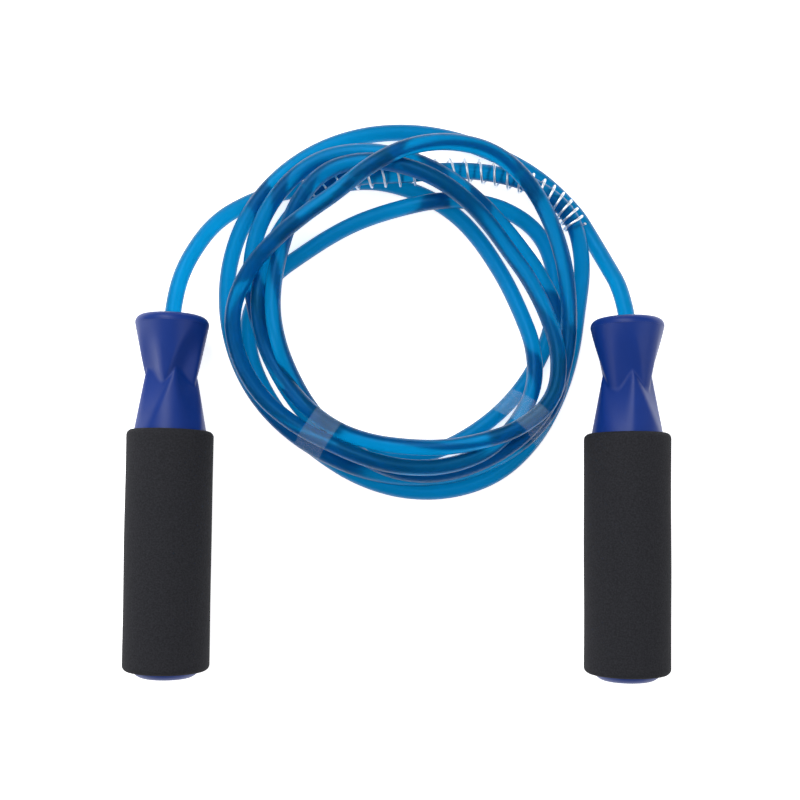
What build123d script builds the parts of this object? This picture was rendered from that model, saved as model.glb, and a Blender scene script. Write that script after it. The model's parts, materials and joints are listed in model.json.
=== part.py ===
from build123d import *
import math
import os

# Jump rope: two foam-grip handles that spin on ball bearings, a round plastic cord wound into a
# loose coil, a wire wear spring on the middle of the cord and two clear tapes round the coil.
# Everything lies on the plane Z = 0. X runs across the handles, Y runs from the grips to the coil.
# Lengths are in millimetres and angles in degrees.

# --- Driving dimensions: handle -----------------------------------------------------------------
HANDLE_LENGTH = 155.0
GRIP_RADIUS = 18.5
GRIP_START = 49.0
GRIP_LENGTH = 103.0
GRIP_ROUND = 3.0
GRIP_BORE_GAP = 0.05

TUBE_RADIUS = 14.0
TUBE_WALL = 2.0
HEAD_BASE_RADIUS = 15.2
RIM_RADIUS = 15.6
NOSE_THICKNESS = 3.6
NOSE_ROUND = 3.2
UPPER_CONE_END = 33.0
UPPER_CONE_END_RADIUS = 9.6
LOWER_CONE_START = 20.0
LOWER_CONE_START_RADIUS = 9.8
FLAT_COUNT = 4
UPPER_FLAT_START = (5.0, 15.3)
UPPER_FLAT_END = (33.0, 6.8)
LOWER_FLAT_START = (20.0, 6.8)
LOWER_FLAT_END = (49.0, 15.1)
CUTTER_REACH = 30.0

# --- Driving dimensions: bearing and cord end ---------------------------------------------------
CORD_RADIUS = 3.5
BEARING_TOP = 4.0
BEARING_WIDTH = 7.0
BEARING_RADIUS = 11.0
BEARING_BORE = 4.0
INNER_RACE_RADIUS = 6.3
OUTER_RACE_BORE = 8.7
PITCH_RADIUS = 7.5
BALL_RADIUS = 1.98
BALL_COUNT = 7
GROOVE_GAP = 0.05
CAGE_INNER = 6.75
CAGE_OUTER = 8.25
CAGE_BACK = 2.8
CAGE_FRONT = 1.2
POCKET_GAP = 0.1
SEAT_GAP = 0.03

NOSE_HOLE_RADIUS = 4.8
NOSE_SPIGOT_INNER = 9.4
BUSH_RADIUS = 3.95
BUSH_FLANGE_RADIUS = 4.5
BUSH_PROUD = 0.6
CORD_GAP = 0.03
CHAMBER_RADIUS = 7.5
CHAMBER_END = 24.0
NECK_BORE_RADIUS = 6.0
WASHER_RADIUS = 6.2
WASHER_THICKNESS = 1.0
FERRULE_RADIUS = 5.2
FERRULE_LENGTH = 10.0
CORD_END = 23.5

# --- Driving dimensions: end cap ----------------------------------------------------------------
CAP_ROUND_REACH = 5.0
CAP_ROUND_DEPTH = 2.8
CAP_SPIGOT_LENGTH = 12.0
CAP_SPIGOT_WALL = 1.8
CAP_SPIGOT_GAP = 0.04
CAP_SKIRT_CHAMFER = 0.8

# --- Where the handles lie ----------------------------------------------------------------------
AXIS_HEIGHT = GRIP_RADIUS
LEFT_YAW = 1.1
RIGHT_YAW = 0.0
LEFT_FACE = (-96.3, 77.8)
RIGHT_FACE = (99.2, 76.5)
LEFT_FLAT_PHASE = -30.0
RIGHT_FLAT_PHASE = -19.0
LEFT_FLAT_SHIFT = 28.0
RIGHT_FLAT_SHIFT = -28.0

# --- Coil, leads, spring and tapes --------------------------------------------------------------
COIL_CENTRE = (3.7, 82.5)
COIL_HEIGHT = 21.0
COIL_ROUND = 3.4
OUTER_REACH = [82.5, 84.0, 90.5, 80.7, 80.2, 86.5, 82.9, 78.0, 78.0, 82.0, 84.5, 84.0]
INNER_REACH = [42.5, 43.0, 42.0, 47.0, 57.0, 58.0, 56.0, 57.0, 54.5, 54.5, 48.0, 42.0]
HOURS = 12

LEFT_LEAD = [(-96.3, 77.8, 18.5), (-96.04, 91.2, 18.5), (-91.8, 108.2, 15.0),
             (-79.8, 123.8, 8.4), (-63.5, 132.6, 4.6), (-52.0, 134.8, 4.0)]
RIGHT_LEAD = [(99.2, 76.5, 18.5), (99.2, 90.4, 18.5), (94.8, 105.4, 13.2),
              (86.8, 117.6, 6.2), (79.0, 126.4, 3.7)]
RUN_SHARE = 0.45

SPRING_ROUTE = [(-43.0, 126.0), (-31.0, 138.6), (-3.0, 143.4), (36.0, 145.4), (63.0, 136.0), (79.5, 118.0)]
SPRING_HEIGHT = 12.7
SPRING_RADIUS = 4.75
SPRING_WIRE = 0.55
SPRING_TURNS = 24
SPRING_CHANNEL_GAP = 0.3
CHANNEL_OVERRUN = 2.0

TAPE_THICKNESS = 0.4
TAPE_WIDTH = 18.0
TAPE_BEARINGS = {"lower_left_tape": 215.0, "lower_right_tape": 130.0}

PARTS = {}
os.makedirs("parts", exist_ok=True)


def keep(part, name):
    """Label a finished piece and remember it for the export."""
    part.label = name
    PARTS[name] = part


# --- Handle geometry ----------------------------------------------------------------------------
def handle_plane(face, yaw):
    """Level plane through a handle's axis: origin on the head's face, local Y pointing out of it."""
    turn = math.radians(yaw)
    across = (math.cos(turn), -math.sin(turn), 0)
    return Plane(origin=(face[0], face[1], AXIS_HEIGHT), x_dir=across, z_dir=(0, 0, 1))


def axis_of(plane):
    return Axis(plane.origin, plane.y_dir)


def turned(plane, outline):
    """Solid of revolution about the handle's axis, from (radius, depth below the face) points."""
    with BuildPart() as solid:
        with BuildSketch(plane):
            with BuildLine():
                Polyline([(radius, -depth) for radius, depth in outline], close=True)
            make_face()
        revolve(axis=axis_of(plane))
    return solid.part


def ring(plane, inner, outer, top, bottom):
    return turned(plane, [(inner, top), (outer, top), (outer, bottom), (inner, bottom)])


def faceted_cone(plane, cone, flat, phase):
    """Truncated cone cut by flats that lean with its depth; cone and flat hold (depth, radius) ends."""
    (cone_top, top_radius), (cone_bottom, bottom_radius) = cone
    (flat_top, top_reach), (flat_bottom, bottom_reach) = flat
    slope = (bottom_reach - top_reach) / (flat_bottom - flat_top)
    with BuildPart() as solid:
        with BuildSketch(plane):
            with BuildLine():
                Polyline(
                    [(0, -cone_top), (top_radius, -cone_top), (bottom_radius, -cone_bottom), (0, -cone_bottom)],
                    close=True,
                )
            make_face()
        revolve(axis=axis_of(plane))
        for index in range(FLAT_COUNT):
            angle = 90 - phase - index * 360 / FLAT_COUNT
            radial_plane = plane.rotated((0, -angle, 0))
            with BuildSketch(radial_plane):
                with BuildLine():
                    Polyline(
                        [
                            (top_reach + slope * (cone_top - flat_top), -cone_top),
                            (CUTTER_REACH, -cone_top),
                            (CUTTER_REACH, -cone_bottom),
                            (bottom_reach + slope * (cone_bottom - flat_bottom), -cone_bottom),
                        ],
                        close=True,
                    )
                make_face()
            extrude(amount=CUTTER_REACH, both=True, mode=Mode.SUBTRACT)
    return solid.part


def make_core(side, plane, phase, shift):
    """Head, neck and grip tube in one moulding, bored for the bearing and the cord's end."""
    upper = faceted_cone(
        plane,
        ((NOSE_THICKNESS, RIM_RADIUS), (UPPER_CONE_END, UPPER_CONE_END_RADIUS)),
        (UPPER_FLAT_START, UPPER_FLAT_END),
        phase,
    )
    lower = faceted_cone(
        plane,
        ((LOWER_CONE_START, LOWER_CONE_START_RADIUS), (GRIP_START, HEAD_BASE_RADIUS)),
        (LOWER_FLAT_START, LOWER_FLAT_END),
        phase + shift,
    )
    tube_end = GRIP_START + GRIP_LENGTH
    tube = ring(plane, 0, TUBE_RADIUS, GRIP_START, tube_end)
    pocket = BEARING_RADIUS + SEAT_GAP
    seat = BEARING_TOP + BEARING_WIDTH
    tube_bore = TUBE_RADIUS - TUBE_WALL
    bore = turned(
        plane,
        [
            (0, 0),
            (pocket, 0),
            (pocket, seat),
            (CHAMBER_RADIUS, seat),
            (CHAMBER_RADIUS, CHAMBER_END),
            (NECK_BORE_RADIUS, CHAMBER_END),
            (NECK_BORE_RADIUS, GRIP_START),
            (tube_bore, GRIP_START + TUBE_WALL),
            (tube_bore, tube_end + TUBE_WALL),
            (0, tube_end + TUBE_WALL),
        ],
    )
    with BuildPart() as core:
        add(upper)
        add(lower)
        add(tube)
        add(bore, mode=Mode.SUBTRACT)
    keep(core.part, f"{side}_handle_core")


def make_nose_cap(side, plane):
    """Rounded disc that closes the head over the bearing, with a spigot pressed into the pocket."""
    spigot = BEARING_RADIUS - SEAT_GAP
    with BuildPart() as cap:
        with BuildSketch(plane):
            with BuildLine():
                Polyline(
                    (NOSE_HOLE_RADIUS, 0),
                    (RIM_RADIUS - NOSE_ROUND, 0),
                )
                RadiusArc((RIM_RADIUS - NOSE_ROUND, 0), (RIM_RADIUS, -NOSE_ROUND), NOSE_ROUND)
                Polyline(
                    (RIM_RADIUS, -NOSE_ROUND),
                    (RIM_RADIUS, -NOSE_THICKNESS),
                    (spigot, -NOSE_THICKNESS),
                    (spigot, -BEARING_TOP),
                    (NOSE_SPIGOT_INNER, -BEARING_TOP),
                    (NOSE_SPIGOT_INNER, -NOSE_THICKNESS),
                    (NOSE_HOLE_RADIUS, -NOSE_THICKNESS),
                    (NOSE_HOLE_RADIUS, 0),
                )
            make_face()
        revolve(axis=axis_of(plane))
    keep(cap.part, f"{side}_nose_cap")


def make_grip(side, plane):
    """Foam sleeve over the tube, with soft ends."""
    bore = TUBE_RADIUS + GRIP_BORE_GAP
    with BuildPart() as grip:
        add(ring(plane, bore, GRIP_RADIUS, GRIP_START, GRIP_START + GRIP_LENGTH))
        outer_edges = grip.edges().filter_by(GeomType.CIRCLE).sort_by(SortBy.RADIUS)[-2:]
        fillet(outer_edges, radius=GRIP_ROUND)
    keep(grip.part, f"{side}_foam_grip")


def make_end_cap(side, plane):
    """Plug with a domed head and a hollow spigot that pushes into the tube."""
    head_top = GRIP_START + GRIP_LENGTH
    spigot = TUBE_RADIUS - TUBE_WALL - CAP_SPIGOT_GAP
    spigot_top = head_top - CAP_SPIGOT_LENGTH
    dome_edge = (TUBE_RADIUS, -HANDLE_LENGTH + CAP_ROUND_DEPTH)
    dome_foot = (TUBE_RADIUS - CAP_ROUND_REACH, -HANDLE_LENGTH)
    dome_radius = (CAP_ROUND_REACH ** 2 + CAP_ROUND_DEPTH ** 2) / (2 * CAP_ROUND_DEPTH)
    with BuildPart() as cap:
        with BuildSketch(plane):
            with BuildLine():
                Polyline(
                    (0, -HANDLE_LENGTH),
                    (0, -head_top),
                    (spigot - CAP_SPIGOT_WALL, -head_top),
                    (spigot - CAP_SPIGOT_WALL, -spigot_top),
                    (spigot - CAP_SKIRT_CHAMFER, -spigot_top),
                    (spigot, -spigot_top - CAP_SKIRT_CHAMFER),
                    (spigot, -head_top),
                    (TUBE_RADIUS, -head_top),
                    dome_edge,
                )
                RadiusArc(dome_edge, dome_foot, dome_radius)
                Line(dome_foot, (0, -HANDLE_LENGTH))
            make_face()
        revolve(axis=axis_of(plane))
    keep(cap.part, f"{side}_end_cap")


# --- Bearing and cord end -----------------------------------------------------------------------
def groove(plane):
    """Ring that the balls run in, a little fuller than the balls."""
    middle = BEARING_TOP + BEARING_WIDTH / 2
    with BuildPart() as solid:
        with BuildSketch(plane):
            with Locations((PITCH_RADIUS, -middle)):
                Circle(BALL_RADIUS + GROOVE_GAP)
        revolve(axis=axis_of(plane))
    return solid.part


def make_races(side, plane):
    top = BEARING_TOP
    bottom = BEARING_TOP + BEARING_WIDTH
    with BuildPart() as outer:
        add(ring(plane, OUTER_RACE_BORE, BEARING_RADIUS, top, bottom))
        add(groove(plane), mode=Mode.SUBTRACT)
    keep(outer.part, f"{side}_outer_race")
    with BuildPart() as inner:
        add(ring(plane, BEARING_BORE, INNER_RACE_RADIUS, top, bottom))
        add(groove(plane), mode=Mode.SUBTRACT)
    keep(inner.part, f"{side}_inner_race")


def make_balls_and_cage(side, plane):
    """Balls at the middle of the races, and a crown cage with one slot for each ball."""
    middle = BEARING_TOP + BEARING_WIDTH / 2
    front = middle - CAGE_FRONT
    ball_plane = Plane(plane.from_local_coords((0, -middle, 0)), x_dir=plane.x_dir, z_dir=-plane.y_dir)
    with BuildPart(ball_plane) as balls:
        with PolarLocations(PITCH_RADIUS, BALL_COUNT):
            Sphere(BALL_RADIUS)
    keep(balls.part, f"{side}_bearing_balls")
    with BuildPart() as cage:
        add(ring(plane, CAGE_INNER, CAGE_OUTER, front, middle + CAGE_BACK))
        with BuildSketch(ball_plane.offset(-CAGE_FRONT)):
            with PolarLocations(PITCH_RADIUS, BALL_COUNT):
                Circle(BALL_RADIUS + POCKET_GAP)
        extrude(amount=CAGE_FRONT + BALL_RADIUS + POCKET_GAP, mode=Mode.SUBTRACT)
    keep(cage.part, f"{side}_ball_cage")


def make_cord_end(side, plane):
    """Bush, thrust washer and crimped ferrule that hold the cord in the inner race."""
    bore = CORD_RADIUS + CORD_GAP
    seat = BEARING_TOP + BEARING_WIDTH
    bush = turned(
        plane,
        [
            (bore, -BUSH_PROUD),
            (BUSH_FLANGE_RADIUS, -BUSH_PROUD),
            (BUSH_FLANGE_RADIUS, BEARING_TOP),
            (BUSH_RADIUS, BEARING_TOP),
            (BUSH_RADIUS, seat),
            (bore, seat),
        ],
    )
    keep(bush, f"{side}_cord_bush")
    washer_end = seat + WASHER_THICKNESS
    keep(ring(plane, bore, WASHER_RADIUS, seat, washer_end), f"{side}_thrust_washer")
    ferrule = ring(plane, bore, FERRULE_RADIUS, washer_end, washer_end + FERRULE_LENGTH)
    keep(ferrule, f"{side}_crimp_ferrule")
    keep(ring(plane, 0, CORD_RADIUS, 0, CORD_END), f"{side}_cord_tail")


# --- Cord ---------------------------------------------------------------------------------------
def lead_radii(route):
    """Radius of each corner's arc: RUN_SHARE of the shorter run over the tangent of half the turn."""
    points = [Vector(*point) for point in route]
    radii = []
    for before, corner, after in zip(points, points[1:], points[2:]):
        run_in = corner - before
        run_out = after - corner
        half_turn = math.radians(run_in.get_angle(run_out)) / 2
        radii.append(RUN_SHARE * min(run_in.length, run_out.length) / math.tan(half_turn))
    return radii


def make_lead(name, route):
    radii = lead_radii(route)
    with BuildPart() as lead:
        with BuildLine() as path:
            FilletPolyline(*route, radius=radii)
        route_wire = path.wire()
        with BuildSketch(Plane(origin=route_wire @ 0, z_dir=route_wire % 0)):
            Circle(CORD_RADIUS)
        sweep(path=route_wire)
    keep(lead.part, name)
    expected = math.pi * CORD_RADIUS**2 * route_wire.length
    print(name, "arc radii", [round(radius, 1) for radius in radii])
    print(name, "length", round(route_wire.length, 1), "volume ratio", round(lead.part.volume / expected, 4))


def coil_outline(reaches, inset):
    """Points of a closed outline round the coil, one for each hour of a clock face."""
    points = []
    for hour, reach in enumerate(reaches):
        bearing = math.radians(hour * 360 / HOURS)
        points.append(
            (
                COIL_CENTRE[0] + (reach - inset) * math.sin(bearing),
                COIL_CENTRE[1] + (reach - inset) * math.cos(bearing),
            )
        )
    return points


def coil_block(inset):
    """Outer shape of the wound turns, drawn in by inset on every side."""
    with BuildPart() as block:
        with BuildSketch(Plane.XY.offset(inset)):
            with BuildLine():
                Spline(*coil_outline(OUTER_REACH, inset), periodic=True)
            make_face()
            with BuildLine():
                Spline(*coil_outline(INNER_REACH, -inset), periodic=True)
            make_face(mode=Mode.SUBTRACT)
        extrude(amount=COIL_HEIGHT - 2 * inset)
        level_edges = block.edges().filter_by(Plane.XY)
        fillet(level_edges, radius=COIL_ROUND - inset)
    return block.part


def tape_slab(bearing):
    """Upright slab across one side of the coil, as wide as the tape."""
    turn = math.radians(bearing)
    outward = (math.sin(turn), math.cos(turn), 0)
    middle_reach = (max(OUTER_REACH) + min(INNER_REACH)) / 2
    centre = (
        COIL_CENTRE[0] + middle_reach * outward[0],
        COIL_CENTRE[1] + middle_reach * outward[1],
        0,
    )
    with BuildPart() as slab:
        with BuildSketch(Plane(origin=centre, x_dir=outward, z_dir=(0, 0, 1))):
            Rectangle(max(OUTER_REACH), TAPE_WIDTH)
        extrude(amount=COIL_HEIGHT)
    return slab.part


def spring_path():
    route = [(x, y, SPRING_HEIGHT) for x, y in SPRING_ROUTE]
    with BuildLine() as path:
        FilletPolyline(*route, radius=lead_radii(route))
    return path.wire()


def spring_wire_path(path):
    """Curved helix as half circles, each from one side of the cord to the other, all smoothly joined."""
    half_turns = 2 * SPRING_TURNS
    sides = []
    for index in range(half_turns + 1):
        station = index / half_turns
        across = (path % station).cross(Vector(0, 0, 1)).normalized()
        sides.append(path @ station + across * SPRING_RADIUS * (-1) ** index)
    with BuildLine() as wire:
        for index, (start, end) in enumerate(zip(sides, sides[1:])):
            rise = (end - start).length / 2 * (-1) ** index
            ThreePointArc(start, (start + end) / 2 + Vector(0, 0, rise), end)
    return wire.wire()


def make_spring(path):
    wire = spring_wire_path(path)
    with BuildPart() as spring:
        with BuildSketch(Plane(origin=wire @ 0, z_dir=wire % 0)):
            Circle(SPRING_WIRE)
        sweep(path=wire)
    keep(spring.part, "wear_spring")


def spring_channel(path):
    """Room for the spring in the coil's solid: a sleeve that leaves the cord itself in place."""
    outer = SPRING_RADIUS + SPRING_WIRE + SPRING_CHANNEL_GAP
    inner = SPRING_RADIUS - SPRING_WIRE - SPRING_CHANNEL_GAP
    with BuildPart() as sleeve:
        with BuildSketch(Plane(origin=path @ 0, z_dir=path % 0)):
            Circle(outer)
            Circle(inner, mode=Mode.SUBTRACT)
        sweep(path=path)
        for station in (0, 1):
            outward = (path % station) * (2 * station - 1)
            with BuildSketch(Plane(origin=path @ station, z_dir=outward)):
                Circle(outer)
                Circle(inner, mode=Mode.SUBTRACT)
            extrude(amount=CHANNEL_OVERRUN)
    return sleeve.part


def make_coil_and_tapes():
    path = spring_path()
    print("spring arc radii", [round(r, 1) for r in lead_radii([(x, y, 0) for x, y in SPRING_ROUTE])])
    print("spring length", round(path.length, 1))
    channel = spring_channel(path)
    core_block = coil_block(TAPE_THICKNESS)
    whole_block = coil_block(0)
    slabs = {name: tape_slab(bearing) for name, bearing in TAPE_BEARINGS.items()}
    for name, slab in slabs.items():
        with BuildPart() as tape:
            add(whole_block)
            add(slab, mode=Mode.INTERSECT)
            add(core_block, mode=Mode.SUBTRACT)
        keep(tape.part, name)
    with BuildPart() as coil:
        add(whole_block)
        for name in slabs:
            add(PARTS[name], mode=Mode.SUBTRACT)
        add(channel, mode=Mode.SUBTRACT)
    keep(coil.part, "cord_coil")
    make_spring(path)


# --- Assembly -----------------------------------------------------------------------------------
HANDLES = {
    "left": (LEFT_FACE, LEFT_YAW, LEFT_FLAT_PHASE, LEFT_FLAT_SHIFT),
    "right": (RIGHT_FACE, RIGHT_YAW, RIGHT_FLAT_PHASE, RIGHT_FLAT_SHIFT),
}
for side, (face, yaw, phase, shift) in HANDLES.items():
    plane = handle_plane(face, yaw)
    make_core(side, plane, phase, shift)
    make_nose_cap(side, plane)
    make_grip(side, plane)
    make_end_cap(side, plane)
    make_races(side, plane)
    make_balls_and_cage(side, plane)
    make_cord_end(side, plane)

make_lead("left_lead", LEFT_LEAD)
make_lead("right_lead", RIGHT_LEAD)
make_coil_and_tapes()

for name, part in PARTS.items():
    export_step(part, f"parts/{name}.step")

loose_pieces = ("lead", "tail", "coil", "spring", "tape")
handle_parts = [part for name, part in PARTS.items() if not any(word in name for word in loose_pieces)]
box = Compound(handle_parts).bounding_box()
print("handles from", box.min, "to", box.max)
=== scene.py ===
"""Jump rope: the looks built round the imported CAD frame.

One continuous translucent cord runs from the left handle, round a loose coil of about six and a quarter
turns, to the right handle. A wire wear spring sits on the cord's middle, and two clear tapes hold the
turns together. The handles get smooth twisted heads, foam grips and moulded caps.
The named lengths are in millimetres, except CORD_LENGTH, the floor and the lights, which are in metres.
Everything handed to Blender is in metres.
"""
import json
import math

import bmesh
import bpy
import numpy as np
from mathutils import Matrix, Vector


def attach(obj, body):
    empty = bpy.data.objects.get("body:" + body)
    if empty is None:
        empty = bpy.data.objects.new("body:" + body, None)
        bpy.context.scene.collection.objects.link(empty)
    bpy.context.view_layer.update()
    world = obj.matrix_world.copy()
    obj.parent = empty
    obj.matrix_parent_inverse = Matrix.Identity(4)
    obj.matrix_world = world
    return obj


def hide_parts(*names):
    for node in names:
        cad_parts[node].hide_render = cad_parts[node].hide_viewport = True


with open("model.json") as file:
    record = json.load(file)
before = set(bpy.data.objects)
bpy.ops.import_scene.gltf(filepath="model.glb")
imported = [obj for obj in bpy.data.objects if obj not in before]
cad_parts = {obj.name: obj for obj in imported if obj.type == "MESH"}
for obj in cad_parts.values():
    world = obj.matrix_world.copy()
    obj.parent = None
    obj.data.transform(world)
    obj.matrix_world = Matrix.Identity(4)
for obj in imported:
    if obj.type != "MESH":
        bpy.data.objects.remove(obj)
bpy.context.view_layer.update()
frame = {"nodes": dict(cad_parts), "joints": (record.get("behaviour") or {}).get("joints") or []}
MM = 0.001

# --- The cord: given route, millimetres ------------------------------------------------------------
CORD_RADIUS = 3.5
CORD_RESOLUTION = 8
COIL_CENTRE = (3.7, 82.5)
HOURS = 12
FIRST_HOUR = 11
POINTS_PER_HOUR = 2

LEFT_EXIT = (-96.3, 77.8, 18.5)
RIGHT_EXIT = (99.2, 76.5, 18.5)
LEFT_LEAD = [LEFT_EXIT, (-95.2, 88.0, 18.4), (-90.4, 103.6, 15.2), (-79.8, 121.6, 8.6),
             (-64.0, 131.8, 4.8), (-52.0, 134.4, 3.9), (-40.0, 136.4, 3.6)]
RIGHT_LEAD = [(84.5, 116.6, 5.0), (91.5, 103.2, 9.8), (97.4, 89.0, 17.0), RIGHT_EXIT]

# Distance of the cord from the coil's centre at each hour of a clock face, from 11 round to 10.
TURN_REACH = [
    [63.5, 53.8, 47.2, 44.5, 50.3, 66.2, 71.9, 68.8, 66.6, 73.8, 76.4, 64.8],
    [60.0, 72.2, 80.6, 74.8, 72.0, 75.4, 75.0, 71.9, 62.6, 57.8, 58.2, 61.7],
    [71.4, 63.9, 55.6, 52.5, 61.7, 76.3, 66.2, 59.5, 60.4, 60.9, 64.8, 65.3],
    [65.0, 59.4, 70.4, 84.8, 75.6, 77.2, 82.9, 79.4, 73.0, 71.0, 68.8, 50.7],
    [44.1, 45.4, 56.0, 68.4, 65.7, 61.7, 61.3, 64.8, 64.4, 62.2, 65.7, 74.2],
    [77.0, 67.5, 58.7, 57.3, 66.6, 77.2, 76.7, 73.6, 72.3, 75.4, 78.5, 80.9],
    [80.3, 78.5, 79.3, 86.0],
]
# Which turn lies over which: a level for each of the same places, 0 on the floor.
TURN_LEVEL = [
    [0.0, 0.0, 0.5, 2.0, 3.0, 2.5, 2.5, 3.5, 4.0, 4.0, 4.0, 4.0],
    [4.0, 4.0, 3.5, 3.0, 2.0, 2.0, 1.5, 1.5, 1.0, 1.5, 2.0, 2.5],
    [3.0, 3.0, 2.5, 2.5, 3.0, 4.0, 4.0, 3.0, 2.0, 1.5, 1.5, 1.0],
    [1.0, 1.0, 1.0, 1.0, 1.0, 1.0, 0.0, 0.0, 0.0, 0.0, 0.0, 0.0],
    [1.0, 1.2, 1.2, 1.5, 1.0, 0.5, 0.5, 0.0, 0.5, 0.5, 1.0, 1.5],
    [2.0, 2.0, 2.0, 2.0, 1.5, 1.0, 1.0, 1.0, 1.0, 1.0, 1.0, 2.0],
    [1.0, 0.5, 0.0, 0.0],
]
CONTROL_SWELL = 1.008
LEVEL_STEP = 8.0

SPRING_START = (-43.0, 126.0)
SPRING_END = (79.5, 118.0)
SPRING_WIRE = 0.55
SPRING_RADIUS = 4.75
SPRING_TURNS = 24
TURNS_BEFORE_SPRING = 3

# --- How the turns are let down on each other --------------------------------------------------------
SAMPLES_PER_SPAN = 6
SETTLE_STEPS = 600
PAIR_REFRESH = 20
PAIR_MARGIN = 3.0
LEAST_APART = 30.0
FREE_LEAD_POINTS = 2
TINY = 1e-6
CROSSING_SHARE = 0.85
PUSH_GAIN = 1.6
FALL_STEP = 0.12
FALL_PART = 0.7
LATE_FALL = 0.15
HEIGHT_STIFFNESS = 0.06
PULL_BACK = 0.1

# --- Camera, floor and light ------------------------------------------------------------------------
CAMERA_FOOT = np.array((1.5, -5.3))
CAMERA_HEIGHT = 470.0
READ_HEIGHT = 7.0
LENS = 47.25
SENSOR_WIDTH = 36
SHIFT_Y = 0.1375
FLOOR_SIZE = 8.0
FLOOR_DROP = -0.0002
FLOOR_COLOUR = (0.86, 0.86, 0.865)
FLOOR_GLOW = 0.8
WORLD_COLOUR = (1.0, 1.0, 1.0)
WORLD_STRENGTH = 0.28
LIGHT_TARGET = (0, 0.03, 0)
# Each light's place, size and power.
LIGHTS = {
    "key": ((-0.25, 0.55, 0.9), (0.5, 0.9), 9.0),
    "fill": ((0.75, -0.1, 0.7), (0.8, 0.8), 3.5),
    "left_strip": ((-0.8, -0.05, 0.45), (0.3, 1.0), 3.5),
}

# --- Handles, millimetres -----------------------------------------------------------------------------
GRIP_START = 49.0
GRIP_LENGTH = 103.0
GRIP_RADIUS = 18.5
NOSE_THICKNESS = 3.6
TUBE_RADIUS = 14.0
TUBE_BORE = 12.0
NECK_BORE = 6.0
CHAMBER_BORE = 7.5
CHAMBER_END = 24.0
SEAT_DEPTH = 11.0
POCKET_BORE = 11.03
FLAT_COUNT = 4
UPPER_TOP_RADIUS = 15.6
UPPER_TAPER = 0.204
LOWER_BASE_RADIUS = 15.2
LOWER_TAPER = 0.178
UPPER_FLAT_START = (6.5, 15.1)
UPPER_FLAT_END = 31.0
LOWER_FLAT_START = (22.3, 7.3)
LOWER_FLAT_END = (49.5, 15.1)
EDGE_SOFTNESS = 1.0
CREASE_SOFTNESS = 0.8
PETAL_DEPTH = 27.5
# Petal angles are degrees from the top, at PETAL_DEPTH, and twist is degrees per millimetre. waist is
# the reach of the upper flats at their lower end, and dish is how far they are hollowed.
HEADS = {
    "left": {"upper_petal": -3.5, "lower_petal": 17.5, "twist": -0.7, "waist": 7.2, "dish": 1.1},
    "right": {"upper_petal": 40.5, "lower_petal": 4.7, "twist": 0.8, "waist": 8.5, "dish": 0.5},
}
HEAD_SEAM = 0.08
SEAM_STEPS = 3
HEAD_ROWS = 150
HEAD_SIDES = 180
SHARP_ANGLE = 40.0
FOAM_ROUND = 2.4
FOAM_ROUND_STEPS = 8
FOAM_GAP = 0.05
FOAM_UNEVEN = 0.1
FOAM_WAVES = ((2, 9.0), (3, -14.0))
FOAM_ROWS = 60
FOAM_SIDES = 128

# --- Spring and tapes, millimetres --------------------------------------------------------------------
SPRING_STEPS = 20
SPRING_SIDES = 8
SPRING_CROWD = 0.12
SPRING_CROWD_POWER = 8
TAPE_BEARINGS = {"lower_left_tape": 214.5, "lower_right_tape": 132.0}
TAPE_WIDTH = 12.5
TAPE_THICKNESS = 0.08
TAPE_STATIONS = 12
TAPE_POINTS = 48
TAPE_SLICE = 2.5
TAPE_CLEARANCE = 0.15

# --- Colours --------------------------------------------------------------------------------------------
CORD_COLOUR = (0.0005, 0.21, 0.47)
CORD_SHEEN = (0.06, 0.35, 0.75, 1)
HANDLE_COLOUR = (0.003, 0.027, 0.19)
FOAM_COLOUR = (0.019, 0.0194, 0.0232)
COLOUR_SPREAD = (0.35, 0.65)


def hourly(rows, position):
    """Value at a fractional place in the turn table, by a Catmull-Rom curve through its entries."""
    values = [value for row in rows for value in row]
    index = min(int(position), len(values) - 2)
    part = position - index
    p0 = values[max(index - 1, 0)]
    p1 = values[index]
    p2 = values[index + 1]
    p3 = values[min(index + 2, len(values) - 1)]
    bend = 2 * p0 - 5 * p1 + 4 * p2 - p3
    twist = -p0 + 3 * p1 - 3 * p2 + p3
    return 0.5 * (2 * p1 + (p2 - p0) * part + bend * part**2 + twist * part**3)


def coil_controls():
    """Control points of the coil's turns, worked out hour by hour round the clock face."""
    entries = sum(len(row) for row in TURN_REACH)
    points = []
    for step in range((entries - 1) * POINTS_PER_HOUR + 1):
        position = step / POINTS_PER_HOUR
        bearing = math.radians((FIRST_HOUR + position) * 360 / HOURS)
        reach = hourly(TURN_REACH, position) * CONTROL_SWELL
        level = hourly(TURN_LEVEL, position)
        points.append((
            COIL_CENTRE[0] + reach * math.sin(bearing),
            COIL_CENTRE[1] + reach * math.cos(bearing),
            CORD_RADIUS + LEVEL_STEP * level,
        ))
    return points


def spline_weights(count, per_span):
    """Weights that turn control points into samples of a clamped quadratic B-spline, as Blender's NURBS."""
    knots = np.concatenate(([0, 0], np.arange(count - 1), [count - 2, count - 2]))
    places = np.linspace(0, count - 2, (count - 2) * per_span + 1)
    weights = np.zeros((len(places), count))
    for row, place in enumerate(places):
        span = min(int(place), count - 3) + 2
        basis = [1.0]
        for degree in (1, 2):
            raised = [0.0] * (degree + 1)
            for index, value in enumerate(basis):
                low = knots[span - degree + 1 + index]
                high = knots[span + 1 + index]
                part = value / (high - low)
                raised[index] += part * (high - place)
                raised[index + 1] += part * (place - low)
            basis = raised
        weights[row, span - 2:span + 1] = basis
    return weights


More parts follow.
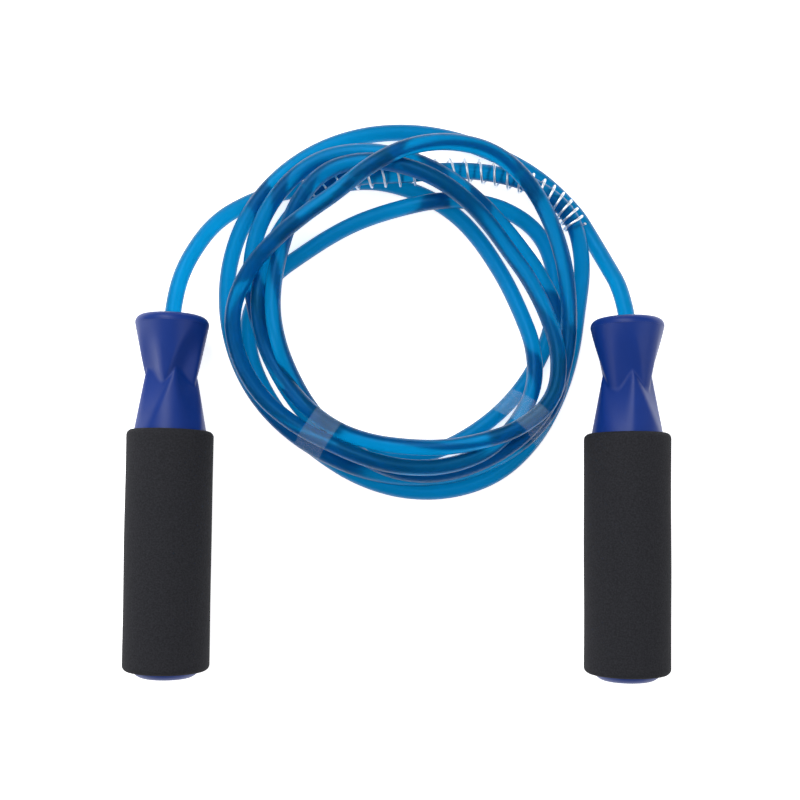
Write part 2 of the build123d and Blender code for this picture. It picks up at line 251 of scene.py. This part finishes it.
def settled_route():
    """Control points of the whole cord, let down on the floor until its turns lie on each other."""
    coil = coil_controls()
    controls = np.array(LEFT_LEAD + coil + RIGHT_LEAD)
    route = controls.copy()
    first = len(LEFT_LEAD)
    last = first + len(coil)
    free = np.zeros(len(controls))
    free[first - FREE_LEAD_POINTS:last + 1] = 1.0
    weights = spline_weights(len(controls), SAMPLES_PER_SPAN)
    share = weights.sum(axis=0)
    samples = weights @ controls
    along = np.concatenate(([0], np.cumsum(np.linalg.norm(np.diff(samples, axis=0), axis=1))))
    start, end = spring_stretch(samples)
    radii = np.full(len(samples), CORD_RADIUS)
    radii[start:end + 1] = SPRING_RADIUS + SPRING_WIRE
    lowest = np.array([radii[weights[:, index] > 0].max() for index in range(len(controls))])
    start_height = samples[:, 2].copy()
    for step in range(SETTLE_STEPS):
        samples = weights @ controls
        if step % PAIR_REFRESH == 0:
            gap = np.linalg.norm(samples[:, None, :2] - samples[None, :, :2], axis=2)
            apart = np.abs(along[:, None] - along[None, :]) > LEAST_APART
            reach = radii[:, None] + radii[None, :] + PAIR_MARGIN
            near_i, near_j = np.nonzero(np.triu((gap < reach) & apart))
            above = np.where(start_height[near_j] >= start_height[near_i], 1.0, -1.0)
        delta = samples[near_j] - samples[near_i]
        flat = np.hypot(delta[:, 0], delta[:, 1])
        need = radii[near_i] + radii[near_j]
        # Two turns that cross keep their order, so the height between them is counted upwards
        # from the lower one.
        rise = delta[:, 2] * above
        wanted = np.sqrt(np.maximum(need**2 - flat**2, 0))
        short = np.maximum(wanted - rise, 0) * (flat < need * CROSSING_SHARE)
        distance = np.maximum(np.linalg.norm(delta, axis=1), TINY)
        lateral = np.maximum(need - distance, 0) * (flat >= need * CROSSING_SHARE)
        push = np.zeros_like(delta)
        push[:, 2] = short * above / 2
        push += delta / distance[:, None] * (lateral / 2)[:, None]
        moved = np.zeros_like(samples)
        count = np.zeros(len(samples))
        np.add.at(moved, near_j, push)
        np.add.at(moved, near_i, -push)
        np.add.at(count, near_j, (short + lateral) > 0)
        np.add.at(count, near_i, (short + lateral) > 0)
        moved /= np.maximum(count, 1)[:, None]
        change = (weights.T @ moved) / share[:, None] * PUSH_GAIN
        fall = FALL_STEP if step < SETTLE_STEPS * FALL_PART else FALL_STEP * LATE_FALL
        change[:, 2] -= fall
        smooth = np.zeros_like(controls)
        smooth[1:-1] = (controls[:-2] + controls[2:]) / 2 - controls[1:-1]
        change[:, 2] += smooth[:, 2] * HEIGHT_STIFFNESS
        shrink = (CAMERA_HEIGHT - controls[:, 2:]) / (CAMERA_HEIGHT - READ_HEIGHT)
        seen = CAMERA_FOOT + (route[:, :2] - CAMERA_FOOT) * shrink
        change[:, :2] += (seen - controls[:, :2]) * PULL_BACK
        controls = controls + change * free[:, None]
        controls[:, 2] = np.maximum(controls[:, 2], lowest)
    return controls


def nearest(samples, place):
    """Index of the sample that lies closest to a place, seen from above."""
    return int(np.argmin(np.hypot(*(samples[:, :2] - place).T)))


def spring_stretch(samples):
    """First and last sample of the spring's stretch, on the fourth turn."""
    turn = len(samples) // len(TURN_REACH)
    earlier = len(samples) * TURNS_BEFORE_SPRING // len(TURN_REACH)
    start = earlier + nearest(samples[earlier:earlier + turn], SPRING_START)
    end = start + nearest(samples[start:start + turn], SPRING_END)
    return start, end


# --- Small helpers ---------------------------------------------------------------------------------
def node(tree, kind, **values):
    """Adds a shader node and sets its inputs by name, with _ standing for a space."""
    made = tree.nodes.new(kind)
    for key, value in values.items():
        made.inputs[key.replace("_", " ")].default_value = value
    return made


def new_material(name, colour, roughness, **sockets):
    material = bpy.data.materials.new(name)
    material.use_nodes = True
    shader = material.node_tree.nodes["Principled BSDF"]
    shader.inputs["Base Color"].default_value = (*colour, 1)
    shader.inputs["Roughness"].default_value = roughness
    for key, value in sockets.items():
        shader.inputs[key.replace("_", " ")].default_value = value
    return material, material.node_tree, shader


def noise(tree, scale, detail=2.0, stretch=(1, 1, 1)):
    """Noise laid out in the object's own space, in metres."""
    place = tree.nodes.new("ShaderNodeTexCoord")
    mapping = tree.nodes.new("ShaderNodeMapping")
    mapping.inputs["Scale"].default_value = stretch
    pattern = node(tree, "ShaderNodeTexNoise", Scale=scale, Detail=detail)
    tree.links.new(place.outputs["Object"], mapping.inputs["Vector"])
    tree.links.new(mapping.outputs["Vector"], pattern.inputs["Vector"])
    return pattern


def vary_roughness(tree, shader, pattern, low, high):
    spread = node(tree, "ShaderNodeMapRange", To_Min=low, To_Max=high)
    tree.links.new(pattern.outputs["Fac"], spread.inputs["Value"])
    tree.links.new(spread.outputs["Result"], shader.inputs["Roughness"])


def shaded(colour, part):
    """The same colour, darker or lighter by a factor."""
    return [value * part for value in colour]


def vary_colour(tree, shader, pattern, dark, light):
    low, high = COLOUR_SPREAD
    ramp = tree.nodes.new("ShaderNodeValToRGB")
    ramp.color_ramp.elements[0].position = low
    ramp.color_ramp.elements[0].color = (*dark, 1)
    ramp.color_ramp.elements[1].position = high
    ramp.color_ramp.elements[1].color = (*light, 1)
    tree.links.new(pattern.outputs["Fac"], ramp.inputs["Fac"])
    tree.links.new(ramp.outputs["Color"], shader.inputs["Base Color"])


def add_bump(tree, shader, pattern, strength, distance):
    bump = node(tree, "ShaderNodeBump", Strength=strength, Distance=distance)
    tree.links.new(pattern.outputs["Fac"], bump.inputs["Height"])
    tree.links.new(bump.outputs["Normal"], shader.inputs["Normal"])


# --- Materials -------------------------------------------------------------------------------------
def cord_material():
    """Clear blue PVC: one thickness is bright, and crossings are darker because light passes both."""
    material, tree, shader = new_material(
        "cord_pvc", CORD_COLOUR, 0.34, Transmission_Weight=0.84, IOR=1.45, Specular_IOR_Level=0.35,
        Specular_Tint=CORD_SHEEN,
    )
    haze = noise(tree, 90.0, 2.0)
    vary_colour(tree, shader, haze, shaded(CORD_COLOUR, 0.92), CORD_COLOUR)
    vary_roughness(tree, shader, noise(tree, 260.0, 3.0), 0.30, 0.40)
    return material


def handle_material():
    """Moulded blue plastic with a soft satin skin."""
    material, tree, shader = new_material(
        "handle_plastic", HANDLE_COLOUR, 0.4, Specular_IOR_Level=0.22,
    )
    vary_colour(tree, shader, noise(tree, 60.0, 4.0), shaded(HANDLE_COLOUR, 0.9), HANDLE_COLOUR)
    vary_roughness(tree, shader, noise(tree, 140.0, 5.0), 0.36, 0.46)
    add_bump(tree, shader, noise(tree, 1800.0, 3.0), 0.12, 0.0001)
    return material


def foam_material():
    """Near-black foam: fine open cells in the bump, slightly uneven tone."""
    material, tree, shader = new_material(
        "grip_foam", FOAM_COLOUR, 0.88, Specular_IOR_Level=0.12,
    )
    cells = noise(tree, 1500.0, 6.0)
    vary_colour(tree, shader, cells, shaded(FOAM_COLOUR, 0.75), shaded(FOAM_COLOUR, 1.2))
    add_bump(tree, shader, cells, 0.3, 0.0004)
    return material


def metal_material(name, colour, low, high, grain=(1, 1, 1)):
    material, tree, shader = new_material(name, colour, low, Metallic=1.0)
    vary_roughness(tree, shader, noise(tree, 700.0, 4.0, grain), low, high)
    return material


def bush_material():
    material, tree, shader = new_material("bush_plastic", (0.62, 0.03, 0.05), 0.35)
    vary_roughness(tree, shader, noise(tree, 300.0), 0.3, 0.45)
    return material


def tape_material():
    """Clear tape, a little milky, with faint wrinkles."""
    material, tree, shader = new_material(
        "clear_tape", (0.72, 0.86, 0.96), 0.16, Alpha=0.035,
    )
    add_bump(tree, shader, noise(tree, 220.0, 3.0, (1, 1, 3)), 0.3, 0.0006)
    return material


# --- Cord, spring and tapes ------------------------------------------------------------------------
def make_cord(controls, material):
    curve = bpy.data.curves.new("cord", "CURVE")
    curve.dimensions = "3D"
    spline = curve.splines.new("NURBS")
    spline.points.add(len(controls) - 1)
    for point, place in zip(spline.points, controls):
        point.co = (*[float(value) * MM for value in place], 1)
    spline.order_u = 3
    spline.use_endpoint_u = True
    curve.resolution_u = CORD_RESOLUTION
    curve.bevel_depth = CORD_RADIUS * MM
    curve.bevel_resolution = CORD_RESOLUTION
    curve.use_fill_caps = True
    curve.materials.append(material)
    cord = bpy.data.objects.new("cord", curve)
    bpy.context.scene.collection.objects.link(cord)
    return cord


def centreline_of(cord):
    """Points of the cord's own smooth line, in millimetres, from a copy of it with no thickness."""
    bare = cord.data.copy()
    bare.bevel_depth = 0
    bare.use_fill_caps = False
    probe = bpy.data.objects.new("centreline_probe", bare)
    bpy.context.scene.collection.objects.link(probe)
    mesh = bpy.data.meshes.new_from_object(probe)
    points = np.array([vertex.co for vertex in mesh.vertices]) / MM
    bpy.data.objects.remove(probe)
    bpy.data.curves.remove(bare)
    bpy.data.meshes.remove(mesh)
    return points


def even_points(points, start, end, count):
    """count + 1 points evenly spaced along a stretch of a line, and the unit directions there."""
    stretch = points[start:end + 1]
    steps = np.concatenate(([0], np.cumsum(np.linalg.norm(np.diff(stretch, axis=0), axis=1))))
    places = np.linspace(0, steps[-1], count + 1)
    even = np.stack([np.interp(places, steps, stretch[:, axis]) for axis in range(3)], axis=1)
    direction = np.gradient(even, axis=0)
    return even, direction / np.linalg.norm(direction, axis=1)[:, None]


def tube_mesh(name, path, radius, sides):
    """Closed round tube along points given in millimetres, with no twist."""
    made = bmesh.new()
    direction = np.gradient(path, axis=0)
    direction /= np.linalg.norm(direction, axis=1)[:, None]
    side = Vector((0, 0, 1)).cross(Vector(direction[0])).normalized()
    rings = []
    for place, ahead in zip(path, direction):
        ahead = Vector(ahead)
        side = (side - ahead * side.dot(ahead)).normalized()
        up = ahead.cross(side)
        ring = []
        for index in range(sides):
            turn = index * math.tau / sides
            spot = Vector(place) + (side * math.cos(turn) + up * math.sin(turn)) * radius
            ring.append(made.verts.new(spot * MM))
        rings.append(ring)
    skin(made, rings, rings[1:])
    made.faces.new(reversed(rings[0]))
    made.faces.new(rings[-1])
    bmesh.ops.recalc_face_normals(made, faces=made.faces)
    return finished(name, made)


def skin(made, rings, following_rings):
    """Faces between each ring of vertices and the one that follows it."""
    for ring, following in zip(rings, following_rings):
        for index in range(len(ring)):
            after = (index + 1) % len(ring)
            made.faces.new((ring[index], ring[after], following[after], following[index]))


def finished(name, made):
    """Turns a bmesh into a linked object with smooth faces."""
    mesh = bpy.data.meshes.new(name)
    made.to_mesh(mesh)
    made.free()
    for face in mesh.polygons:
        face.use_smooth = True
    thing = bpy.data.objects.new(name, mesh)
    bpy.context.scene.collection.objects.link(thing)
    return thing


def make_spring(line, material):
    """Round-wound spring on the cord: open turns, closing up towards its right end."""
    start, end = spring_stretch(line)
    steps = SPRING_TURNS * SPRING_STEPS
    centre, ahead = even_points(line, start, end, steps)
    places = np.linspace(0, 1, steps + 1)
    # Turn count against place: the last turns are closer together than the rest.
    turns = SPRING_TURNS * (places * (1 - SPRING_CROWD) + SPRING_CROWD * places**SPRING_CROWD_POWER)
    path = []
    side = Vector((0, 0, 1)).cross(Vector(ahead[0])).normalized()
    for place, forward, turn in zip(centre, ahead, turns):
        forward = Vector(forward)
        side = (side - forward * side.dot(forward)).normalized()
        up = forward.cross(side)
        angle = turn * math.tau
        path.append(Vector(place) + (side * math.cos(angle) + up * math.sin(angle)) * SPRING_RADIUS)
    spring = tube_mesh("wear_spring_wire", np.array(path), SPRING_WIRE, SPRING_SIDES)
    spring.data.materials.append(material)
    return spring


def make_tape(name, bearing, line, material):
    """Thin clear band drawn round everything that passes at one side of the coil."""
    turn = math.radians(bearing)
    outward = np.array((math.sin(turn), math.cos(turn)))
    sideways = np.array((outward[1], -outward[0]))
    made = bmesh.new()
    rings = []
    for index in range(TAPE_STATIONS + 1):
        offset = (index / TAPE_STATIONS - 0.5) * TAPE_WIDTH
        relative = line[:, :2] - COIL_CENTRE - sideways * offset
        close = (np.abs(relative @ sideways) < TAPE_SLICE) & (relative @ outward > 0)
        reach = relative[close] @ outward
        spots = np.stack((reach, line[close, 2]), axis=1)
        rings.append([(offset, *spot) for spot in wrapped(spots)])
    grid = []
    for ring in rings:
        grid.append([
            made.verts.new(Vector((
                (COIL_CENTRE[0] + outward[0] * reach + sideways[0] * offset) * MM,
                (COIL_CENTRE[1] + outward[1] * reach + sideways[1] * offset) * MM,
                height * MM,
            )))
            for offset, reach, height in ring
        ])
    skin(made, grid, grid[1:])
    tape = finished(name, made)
    solid = tape.modifiers.new("thickness", "SOLIDIFY")
    solid.thickness = TAPE_THICKNESS * MM
    solid.offset = 0
    tape.data.materials.append(material)
    return tape


def wrapped(spots):
    """Taut outline round circles of the cord's radius at these (reach, height) places."""
    outline = []
    for index in range(TAPE_POINTS):
        angle = index * math.tau / TAPE_POINTS
        facing = np.array((math.cos(angle), math.sin(angle)))
        outline.append((angle, float((spots @ facing).max()) + CORD_RADIUS + TAPE_CLEARANCE))
    points = []
    for (angle, far), (next_angle, next_far) in zip(outline, outline[1:] + outline[:1]):
        # Corner where this tangent line meets the next one.
        facing = (math.cos(angle), math.sin(angle))
        next_facing = (math.cos(next_angle), math.sin(next_angle))
        points.append(np.linalg.solve(np.array((facing, next_facing)), np.array((far, next_far))))
    for point in points:
        point[1] = max(point[1], TAPE_THICKNESS)
    return points


# --- Handles ---------------------------------------------------------------------------------------
def handle_frame(side):
    """Matrix from a handle's own axes to the row frame: X across, Y out of the face, Z up, millimetres."""
    joint = next(j for j in frame["joints"] if j["name"] == f"{side}_swivel")
    out = Vector(joint["axis"]).normalized()
    up = Vector((0, 0, 1))
    across = out.cross(up).normalized()
    turn = Matrix((across, out, up)).transposed().to_4x4()
    return Matrix.Translation(Vector(joint["pos_m"])) @ turn @ Matrix.Scale(MM, 4)


def angles_round(sides):
    """Even steps round a circle."""
    return [index * math.tau / sides for index in range(sides)]


def axial_ring(made, angles, reaches, depth):
    """Ring of vertices round a handle's axis, with its radius given at each angle from the top."""
    return [
        made.verts.new((reach * math.sin(angle), -depth, reach * math.cos(angle)))
        for angle, reach in zip(angles, reaches)
    ]


def soft_max(first, second, width):
    """The larger of two values, rounded where they are nearly equal."""
    gap = max(width - abs(first - second), 0) / width
    return max(first, second) + gap * gap * width / 4


def soft_min(first, second, width):
    return -soft_max(-first, -second, width)


def petal_radius(angle, phase, round_radius, flat_reach, dish):
    """Radius of a cone with four flats, at an angle from the top; the flats are slightly hollow."""
    quarter = math.tau / FLAT_COUNT
    from_flat = (angle - phase) % quarter - quarter / 2
    flat = (flat_reach - dish * math.cos(from_flat * FLAT_COUNT / 2) ** 2) / math.cos(from_flat)
    return soft_min(round_radius, flat, EDGE_SOFTNESS)


def head_radius(side, angle, depth):
    """Outer radius of a handle's head: two cones with twisted flats, one growing out of the other."""
    shape = HEADS[side]
    upper_round = UPPER_TOP_RADIUS - UPPER_TAPER * (depth - NOSE_THICKNESS)
    lower_round = LOWER_BASE_RADIUS - LOWER_TAPER * (GRIP_START - depth)
    upper_part = (depth - UPPER_FLAT_START[0]) / (UPPER_FLAT_END - UPPER_FLAT_START[0])
    lower_part = (depth - LOWER_FLAT_START[0]) / (LOWER_FLAT_END[0] - LOWER_FLAT_START[0])
    upper_flat = UPPER_FLAT_START[1] + (shape["waist"] - UPPER_FLAT_START[1]) * upper_part
    lower_flat = LOWER_FLAT_START[1] + (LOWER_FLAT_END[1] - LOWER_FLAT_START[1]) * lower_part
    upper_phase = math.radians(shape["upper_petal"] + shape["twist"] * (depth - PETAL_DEPTH))
    lower_phase = math.radians(shape["lower_petal"] + shape["twist"] * (depth - PETAL_DEPTH))
    upper_dish = shape["dish"] * max(math.sin(math.pi * min(max(upper_part, 0), 1)), 0)
    upper = petal_radius(angle, upper_phase, upper_round, upper_flat, upper_dish)
    lower = petal_radius(angle, lower_phase, lower_round, lower_flat, 0.0)
    return soft_max(upper, lower, CREASE_SOFTNESS)


def make_head(side, material):
    """Head and grip tube of one handle as a single closed moulding, bored like the CAD core."""
    place = handle_frame(side)
    made = bmesh.new()
    angles = angles_round(HEAD_SIDES)
    rings = []
    outer = [NOSE_THICKNESS + HEAD_SEAM * index / SEAM_STEPS for index in range(SEAM_STEPS)]
    first = NOSE_THICKNESS + HEAD_SEAM
    outer += [first + (GRIP_START - first) * index / HEAD_ROWS for index in range(HEAD_ROWS + 1)]
    for row, depth in enumerate(outer):
        # A small rounded edge where the head meets the nose cap.
        inset = HEAD_SEAM * (1 - math.sqrt(1 - max(1 - row / SEAM_STEPS, 0) ** 2))
        reaches = [head_radius(side, angle, depth) - inset for angle in angles]
        rings.append(axial_ring(made, angles, reaches, depth))
    tube_end = GRIP_START + GRIP_LENGTH
    bore = [
        (TUBE_RADIUS, GRIP_START),
        (TUBE_RADIUS, tube_end),
        (TUBE_BORE, tube_end),
        (TUBE_BORE, GRIP_START + TUBE_RADIUS - TUBE_BORE),
        (NECK_BORE, GRIP_START),
        (NECK_BORE, CHAMBER_END),
        (CHAMBER_BORE, CHAMBER_END),
        (CHAMBER_BORE, SEAT_DEPTH),
        (POCKET_BORE, SEAT_DEPTH),
        (POCKET_BORE, NOSE_THICKNESS),
    ]
    for radius, depth in bore:
        rings.append(axial_ring(made, angles, [radius] * HEAD_SIDES, depth))
    skin(made, rings, rings[1:] + rings[:1])
    bmesh.ops.recalc_face_normals(made, faces=made.faces)
    made.transform(place)
    head = finished(f"{side}_handle_moulding", made)
    sharpen(head)
    head.data.materials.append(material)
    return head


def sharpen(thing):
    """Keeps real corners crisp under smooth shading."""
    thing.data.set_sharp_from_angle(angle=math.radians(SHARP_ANGLE))


def make_grip(side, material):
    """Foam sleeve: a slightly swollen, uneven tube with soft rolled ends."""
    place = handle_frame(side)
    made = bmesh.new()
    profile = [(TUBE_RADIUS + FOAM_GAP, GRIP_START)]
    for index in range(FOAM_ROUND_STEPS + 1):
        turn = index / FOAM_ROUND_STEPS * math.pi / 2
        profile.append((
            GRIP_RADIUS - FOAM_ROUND * (1 - math.sin(turn)), GRIP_START + FOAM_ROUND * (1 - math.cos(turn)),
        ))
    straight = GRIP_LENGTH - 2 * FOAM_ROUND
    for index in range(1, FOAM_ROWS):
        profile.append((GRIP_RADIUS, GRIP_START + FOAM_ROUND + straight * index / FOAM_ROWS))
    end = GRIP_START + GRIP_LENGTH
    for index in range(FOAM_ROUND_STEPS + 1):
        turn = index / FOAM_ROUND_STEPS * math.pi / 2
        profile.append((
            GRIP_RADIUS - FOAM_ROUND * (1 - math.cos(turn)), end - FOAM_ROUND * (1 - math.sin(turn)),
        ))
    profile.append((TUBE_RADIUS + FOAM_GAP, end))
    angles = angles_round(FOAM_SIDES)
    rings = []
    for radius, depth in profile:
        reaches = []
        for angle in angles:
            waves = sum(math.sin(count * angle + depth / length) for count, length in FOAM_WAVES)
            uneven = FOAM_UNEVEN * waves / len(FOAM_WAVES)
            reaches.append(radius + (uneven - FOAM_UNEVEN if radius > GRIP_RADIUS - FOAM_ROUND / 2 else 0))
        rings.append(axial_ring(made, angles, reaches, depth))
    skin(made, rings, rings[1:] + rings[:1])
    bmesh.ops.recalc_face_normals(made, faces=made.faces)
    made.transform(place)
    grip = finished(f"{side}_foam_sleeve", made)
    sharpen(grip)
    grip.data.materials.append(material)
    return grip


# --- Floor, lights and camera ----------------------------------------------------------------------
def make_camera():
    """Looks straight down; the shift puts the object as high in the frame as it should be."""
    data = bpy.data.cameras.new("camera")
    data.sensor_width = SENSOR_WIDTH
    data.lens = LENS
    data.shift_y = SHIFT_Y
    camera = bpy.data.objects.new("camera", data)
    camera.location = (CAMERA_FOOT[0] * MM, CAMERA_FOOT[1] * MM, CAMERA_HEIGHT * MM)
    bpy.context.scene.collection.objects.link(camera)
    bpy.context.scene.camera = camera


def add_light(name, place, size, power):
    data = bpy.data.lights.new(name, "AREA")
    data.shape = "RECTANGLE"
    data.size, data.size_y = size
    data.energy = power
    light = bpy.data.objects.new(name, data)
    light.location = place
    light.rotation_mode = "QUATERNION"
    light.rotation_quaternion = (Vector(LIGHT_TARGET) - Vector(place)).to_track_quat("-Z", "Y")
    bpy.context.scene.collection.objects.link(light)


def make_stage():
    bpy.ops.mesh.primitive_plane_add(size=FLOOR_SIZE, location=(0, 0, FLOOR_DROP))
    floor = bpy.context.object
    floor.name = "floor"
    material = new_material(
        "floor_paper", FLOOR_COLOUR, 0.9, Emission_Color=(1, 1, 1, 1), Emission_Strength=FLOOR_GLOW,
    )[0]
    floor.data.materials.append(material)
    world = bpy.data.worlds.new("studio")
    bpy.context.scene.world = world
    world.use_nodes = True
    background = world.node_tree.nodes["Background"]
    background.inputs["Color"].default_value = (*WORLD_COLOUR, 1)
    background.inputs["Strength"].default_value = WORLD_STRENGTH
    for name, (place, size, power) in LIGHTS.items():
        add_light(name, place, size, power)


# --- Assembly -----------------------------------------------------------------------------------------
bpy.context.scene.view_settings.view_transform = "Standard"
make_camera()
make_stage()

controls = settled_route()
cord_plastic = cord_material()
cord = make_cord(controls, cord_plastic)
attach(cord, "rope")
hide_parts("cord_coil", "left_lead", "right_lead")

line = centreline_of(cord)
spring = make_spring(line, metal_material("spring_wire", (0.9, 0.92, 0.95), 0.35, 0.5))
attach(spring, "rope")
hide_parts("wear_spring")

clear = tape_material()
for name, bearing in TAPE_BEARINGS.items():
    tape = make_tape(f"{name}_band", bearing, line, clear)
    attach(tape, "rope")
    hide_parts(name)

plastic = handle_material()
foam = foam_material()
bearing_steel = metal_material("bearing_steel", (0.56, 0.57, 0.58), 0.22, 0.36, (1, 8, 1))
ball_steel = metal_material("ball_steel", (0.75, 0.76, 0.78), 0.05, 0.1)
washer_steel = metal_material("washer_steel", (0.6, 0.6, 0.58), 0.3, 0.45)
cage_steel = metal_material("cage_steel", (0.42, 0.42, 0.44), 0.35, 0.5)
aluminium = metal_material("ferrule_aluminium", (0.74, 0.75, 0.76), 0.3, 0.45)
bush = bush_material()
finishes = {
    "nose_cap": plastic, "end_cap": plastic, "outer_race": bearing_steel, "inner_race": bearing_steel,
    "bearing_balls": ball_steel, "ball_cage": cage_steel, "cord_bush": bush, "thrust_washer": washer_steel,
    "crimp_ferrule": aluminium, "cord_tail": cord_plastic,
}
for side in HEADS:
    head = make_head(side, plastic)
    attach(head, f"{side}_handle")
    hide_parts(f"{side}_handle_core")
    grip = make_grip(side, foam)
    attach(grip, f"{side}_handle")
    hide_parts(f"{side}_foam_grip")
    for name, finish in finishes.items():
        piece = frame["nodes"][f"{side}_{name}"]
        piece.data.materials.clear()
        piece.data.materials.append(finish)
